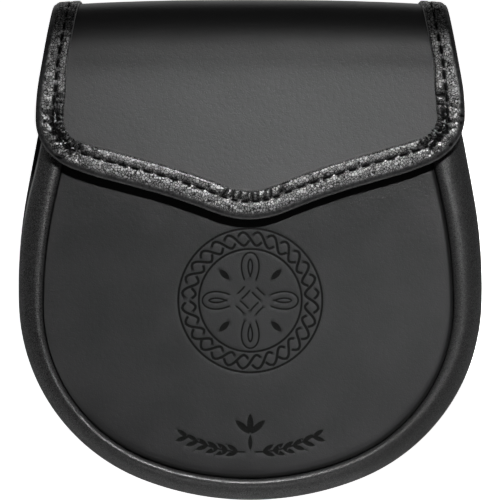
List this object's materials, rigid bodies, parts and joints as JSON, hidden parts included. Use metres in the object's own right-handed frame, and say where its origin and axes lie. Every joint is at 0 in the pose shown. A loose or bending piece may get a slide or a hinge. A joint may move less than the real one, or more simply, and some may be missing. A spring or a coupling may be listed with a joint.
{
  "type": "sporran pouch",
  "caption": "Black leather day sporran: round-bottomed belt pouch with a smooth front, rolled gusset, fold-over pointed flap with gathered binding, and two strap loops on its back.",
  "frame": {"origin": "the middle of the box that the pouch fills, on the surface that it lies on", "axes": "the pouch lies on its back: +Z is the way its front faces, +Y runs up it to the fold of its flap, and +X runs across it to the right as one looks at the front"},
  "size_m": [0.1898, 0.2048, 0.0357],
  "materials": {
    "smooth_leather": "smooth black leather with a soft sheen",
    "grained_leather": "black pebble-grained leather, slightly glossy on the grain",
    "back_leather": "plain black leather, matt",
    "catch_metal": "dark plated metal"
  },
  "bodies": {
    "root": {"back_panel": "back_leather", "front_panel": "smooth_leather", "gusset": "grained_leather", "flap_panel": "smooth_leather", "flap_binding": "grained_leather", "strap_loop_left": "back_leather", "strap_loop_right": "back_leather", "flap_catch": "catch_metal"}
  },
  "joints": []
}
